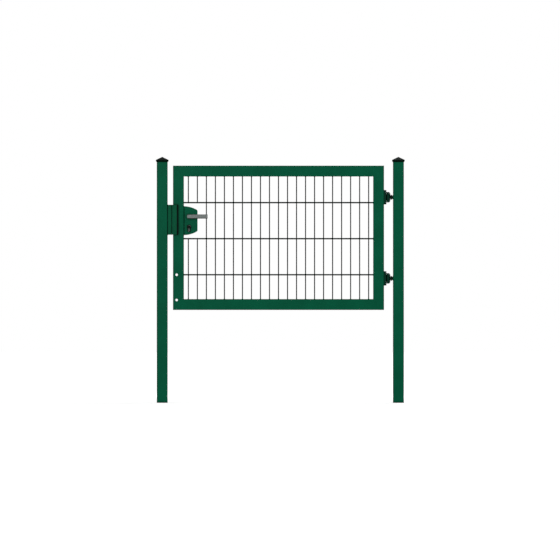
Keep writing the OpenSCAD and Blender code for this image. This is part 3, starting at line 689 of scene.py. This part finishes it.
# %% Seams round the lock case
SUNK_SEAM = 0.6 * MM        # how deep under a face the middle of a seam lies
INSET = 2 * MM              # how far a seam stops short of an edge
BESIDE = 1.2 * MM           # from the stile to the middle of the upright seams
seam_x = case_low.x + BESIDE
points = []
for y in (case_low.y + SUNK_SEAM, case_high.y - SUNK_SEAM):
    points += [(seam_x, y, case_low.z + INSET), (seam_x, y, case_high.z - INSET)]
for z in (case_low.z + SUNK_SEAM, case_high.z - SUNK_SEAM):
    points += [(case_low.x, case_low.y + INSET, z), (case_low.x, case_high.y - INSET, z)]
grow("lock_case_seams", sketch("case_lines", points, in_pairs(points)), seams, "leaf",
     "frame_paint", Step=2.2 * MM, Ball=2.2 * MM, Seed=13, Coat=shaded_seam_coat)

# %% Seams round the hinge sleeves, where they enter the post
def circle_line(centre, radius, sides=24):
    """Points round the X axis, and the lines that close them to a ring."""
    ring = [(centre[0], centre[1] + radius * math.cos(2 * math.pi * i / sides),
             centre[2] + radius * math.sin(2 * math.pi * i / sides)) for i in range(sides)]
    return ring, [(i, (i + 1) % sides) for i in range(sides)]


points, lines = [], []
hinge_post_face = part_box("hinge_post")[0].x
for name in ("hinge_sleeve_upper", "hinge_sleeve_lower"):
    low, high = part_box(name)
    centre = (hinge_post_face, 0, (low.z + high.z) / 2)
    ring, closed = circle_line(centre, (high.z - low.z) / 2)
    lines += [(a + len(points), b + len(points)) for a, b in closed]
    points += ring
grow("sleeve_seams", sketch("sleeve_rings", points, lines), seams, "posts", "post_paint",
     Step=2.2 * MM, Ball=1.8 * MM, Seed=17, Coat=post_coat)

# %% Seams that hold the keep to its post, and the stop plate to the keep
PLATE_SEAM = 1.4 * MM       # how deep the stop plate's seam lies
keep_low, keep_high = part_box("keep_box")
lock_post_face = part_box("lock_post")[1].x
sunk_y, plate_y = keep_low.y + SUNK_SEAM, keep_low.y + PLATE_SEAM
points = [(lock_post_face, sunk_y, keep_low.z), (lock_post_face, sunk_y, keep_high.z),
          (lock_post_face, keep_high.y, keep_high.z), (lock_post_face, keep_high.y, keep_low.z),
          (keep_high.x, plate_y, keep_low.z + INSET), (keep_high.x, plate_y, keep_high.z - INSET)]
lines = [(0, 1), (1, 2), (2, 3), (3, 0), (4, 5)]
grow("keep_seams", sketch("keep_lines", points, lines), seams, "posts", "keep_paint",
     Step=2.2 * MM, Ball=2.2 * MM, Seed=19, Coat=shaded_seam_coat)

# %% [markdown]
# ## Screws
#
# Each hinge bracket is held by two M6 socket-head screws on washers. A screw head is a
# turned piece: a profile spun round an axis, with a chamfered rim, and a six-sided
# socket pressed into it. The profile is a short list of rings, each a radius and a
# height, and a ring in the socket follows a hexagon. Two master screws are made that way,
# one with a head and one without, and a tree sets a copy of one on each point.

# %% Turn a screw head
def turned(name, rings, sides=24):
    """A closed solid of rings (radius, height, is it a hexagon), spun round Z."""
    points, faces = [], []
    for radius, height, hexagon in rings:
        for i in range(sides):
            angle = 2 * math.pi * i / sides
            # a hexagon's side is nearest at its middle, and turn is the angle from there
            turn = math.radians((math.degrees(angle) + 30) % 60 - 30)
            reach = radius / math.cos(turn) if hexagon else radius
            points.append((reach * math.cos(angle), reach * math.sin(angle), height))
    for row in range(len(rings) - 1):
        for i in range(sides):
            j = (i + 1) % sides
            here, above = row * sides, (row + 1) * sides
            faces.append([here + i, here + j, above + j, above + i])
    faces.append(list(range(sides))[::-1])
    faces.append([(len(rings) - 1) * sides + i for i in range(sides)])
    mesh = bpy.data.meshes.new(name)
    mesh.from_pydata(points, [], faces)
    return bpy.data.objects.new(name, mesh)


# in millimetres: a washer, the head that stands on it, and the socket in the head
cap_rings = [(5.5, 0, False), (5.5, 1.4, False), (5.3, 1.6, False), (5, 1.6, False),
             (5, 7.2, False), (4.6, 7.6, False), (2.7, 7.6, True), (2.5, 7.4, True),
             (2.5, 4.6, True), (0.3, 3.8, True)]
# a screw without a head, almost flush with the face round it, and its socket
grub_rings = [(2.5, -0.8, False), (2.5, 0.1, False), (2.3, 0.3, False), (1.35, 0.3, True),
              (1.25, 0.2, True), (1.25, -0.6, True), (0.2, -0.7, True)]
cap_screw = turned("cap_screw", [(r * MM, h * MM, six) for r, h, six in cap_rings])
grub_screw = turned("grub_screw", [(r * MM, h * MM, six) for r, h, six in grub_rings])
print("turned:", len(cap_screw.data.polygons), "and", len(grub_screw.data.polygons), "faces")

# %% A tree that sets a master piece on every point
settings = new_tree("set_on_points", Master=bpy.types.Object, Facing=tuple,
                    Metal=bpy.types.Material)
given = add_node(settings, "NodeGroupInput").outputs
master = add_node(settings, "GeometryNodeObjectInfo", {"Object": given["Master"]})
turn = add_node(settings, "FunctionNodeAlignRotationToVector",
                {"Vector": given["Facing"]}, axis="Z")
placed = add_node(settings, "GeometryNodeInstanceOnPoints",
                  {"Points": given["Sketch"], "Instance": master.outputs["Geometry"],
                   "Rotation": turn.outputs["Rotation"]})
end_tree(settings, placed.outputs["Instances"], given["Metal"])

# %% Screws in the hinge brackets
PLATE = 6 * MM              # thickness of the bracket's plate
WASHER = 5.5 * MM           # radius of a washer
spots = []
for name in ("hinge_bracket_upper", "hinge_bracket_lower"):
    low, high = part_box(name)
    spots += [(low.x + PLATE, 0, low.z + WASHER), (low.x + PLATE, 0, high.z - WASHER)]
grow("bracket_screws", sketch("bracket_spots", spots), settings, "leaf", "black_steel",
     Master=cap_screw, Facing=(1.0, 0.0, 0.0), Metal=black_oxide)

# %% [markdown]
# The lock has three more screws in its faceplate: one near each end, and a longer one
# that holds the key cylinder by its leg. Each lever is clamped to its spindle by a screw
# without a head, which is turned in from below the neck, where rain doesn't reach it.

# %% Screws in the faceplate and the levers
FROM_END = 9 * MM           # from the faceplate's end to its screw
LEG = 6 * MM                # from the cylinder's lower end to the screw in its leg
plate_low, plate_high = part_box("lock_faceplate")
leg_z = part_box("key_cylinder")[0].z + LEG
screw_zs = (plate_low.z + FROM_END, leg_z, plate_high.z - FROM_END)
spots = [(plate_low.x, 0, z) for z in screw_zs]
grow("faceplate_screws", sketch("faceplate_spots", spots), settings, "leaf", "bright_steel",
     Master=grub_screw, Facing=(-1.0, 0.0, 0.0), Metal=stainless)
NECK = 9 * MM               # radius of the lever's neck
GRIP = 11 * MM              # thickness of the lever's grip, in front of the neck
TURNED_IN = 0.3 * MM        # how far the clamping screw's rim lies in the neck
bush_low, bush_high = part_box("lever_bush_front")
axis = (bush_low + bush_high) / 2
neck_y = (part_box("lever_front")[0].y + GRIP + bush_low.y) / 2
spots = [(axis.x, side * neck_y, axis.z - NECK + TURNED_IN) for side in SIDES]
grow("lever_screws", sketch("neck_spots", spots), settings, "levers", "black_steel",
     Master=grub_screw, Facing=(0.0, 0.0, -1.0), Metal=black_oxide)

# %% [markdown]
# ## Light
#
# Soft light from large lamps near the camera shows the colours as they are, and lets
# rounded edges fall off a little darker. The world is white where the camera, a mirror or
# glass looks at it, and a weaker white where it lights the object.

# %% World
AMBIENT = 0.36              # the world's strength where it lights the gate

world = bpy.data.worlds.new("white_studio")
bpy.context.scene.world = world
world.use_nodes = True
world.node_tree.nodes.clear()
rays = add_node(world.node_tree, "ShaderNodeLightPath").outputs
seen = add_node(world.node_tree, "ShaderNodeMath",
                {0: rays["Is Camera Ray"], 1: rays["Is Glossy Ray"]}, operation="MAXIMUM")
seen = add_node(world.node_tree, "ShaderNodeMath",
                {0: seen.outputs[0], 1: rays["Is Transmission Ray"]}, operation="MAXIMUM")
strength = add_node(world.node_tree, "ShaderNodeMapRange",
                    {"Value": seen.outputs[0], "To Min": AMBIENT, "To Max": 1.0})
sky = add_node(world.node_tree, "ShaderNodeBackground",
               {"Color": (1.0, 1.0, 1.0, 1.0), "Strength": strength.outputs["Result"]})
add_node(world.node_tree, "ShaderNodeOutputWorld", {"Surface": sky.outputs["Background"]})
print("world lights with", AMBIENT)

# %% Lamps
LAMP_SIZE = 3.0             # metres; the larger the lamp, the softer its shadows


def soft_lamp(name, azimuth, elevation, distance, level):
    """A square lamp, turned to the gate, that lights a white face to the given level."""
    turn, rise = math.radians(azimuth), math.radians(elevation)
    away = Vector((math.sin(turn) * math.cos(rise), -math.cos(turn) * math.cos(rise),
                   math.sin(rise)))
    data = bpy.data.lights.new(name, "AREA")
    data.size = LAMP_SIZE
    data.energy = level * math.pi ** 2 * distance ** 2
    lamp = bpy.data.objects.new(name, data)
    lamp.location = middle + away * distance
    lamp.rotation_euler = away.to_track_quat("Z", "Y").to_euler()
    bpy.context.scene.collection.objects.link(lamp)
    print("lamp:", name, "lights to", level)


soft_lamp("key", azimuth=-20, elevation=13, distance=7.0, level=0.42)
soft_lamp("fill", azimuth=30, elevation=9, distance=7.0, level=0.24)
soft_lamp("back", azimuth=155, elevation=35, distance=6.5, level=0.36)
bpy.context.scene.view_settings.view_transform = "Standard"

# %% [markdown]
# ## Floor
#
# A plain white floor carries the gate's soft shadow. The lamps light only its middle, so
# it gives off some light of its own, seen by the camera alone and stronger further out.
# Where no shadow falls it is then as white as the background, and its far edge vanishes.

# %% Floor
FLOOR_REACH = 60.0
UNDER = 0.2 * MM            # a hair under the posts, so that no two faces share a plane
NEAR, FAR = 2.0, 6.0        # metres from the gate, between which the glow grows
NEAR_GLOW, FAR_GLOW = 0.44, 0.85
floor_corners = [(middle.x + x * FLOOR_REACH, y * FLOOR_REACH, -UNDER)
                 for x, y in ((-1, -1), (1, -1), (1, 1), (-1, 1))]
floor_mesh = bpy.data.meshes.new("floor")
floor_mesh.from_pydata(floor_corners, [], [[0, 1, 2, 3]])
floor = bpy.data.objects.new("floor", floor_mesh)
bpy.context.scene.collection.objects.link(floor)
paper = new_material("white_floor")
tree = paper.node_tree
place = add_node(tree, "ShaderNodeTexCoord").outputs["Object"]
far_off = add_node(tree, "ShaderNodeVectorMath", {0: place}, operation="LENGTH")
glow = add_node(tree, "ShaderNodeMapRange",
                {"Value": far_off.outputs["Value"], "From Min": NEAR, "From Max": FAR,
                 "To Min": NEAR_GLOW, "To Max": FAR_GLOW}, interpolation_type="SMOOTHSTEP")
rays = add_node(tree, "ShaderNodeLightPath").outputs
glow = add_node(tree, "ShaderNodeMath",
                {0: rays["Is Camera Ray"], 1: glow.outputs["Result"]}, operation="MULTIPLY")
lit = add_node(tree, "ShaderNodeEmission", {"Strength": glow.outputs[0]})
matt = add_node(tree, "ShaderNodeBsdfDiffuse", {"Color": (0.85, 0.85, 0.85, 1.0)})
both = add_node(tree, "ShaderNodeAddShader", {0: matt.outputs[0], 1: lit.outputs[0]})
add_node(tree, "ShaderNodeOutputMaterial", {"Surface": both.outputs[0]})
floor_mesh.materials.append(paper)
floor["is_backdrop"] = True
print("floor laid")

# %% [markdown]
# ## The visual model's size
#
# The visual model has to keep the CAD model's size, so its box is printed, to set beside
# the CAD model's box printed at the start.

# %% Print the visual model's size
low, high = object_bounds()
print("visual box", [round(v, 4) for v in high - low])
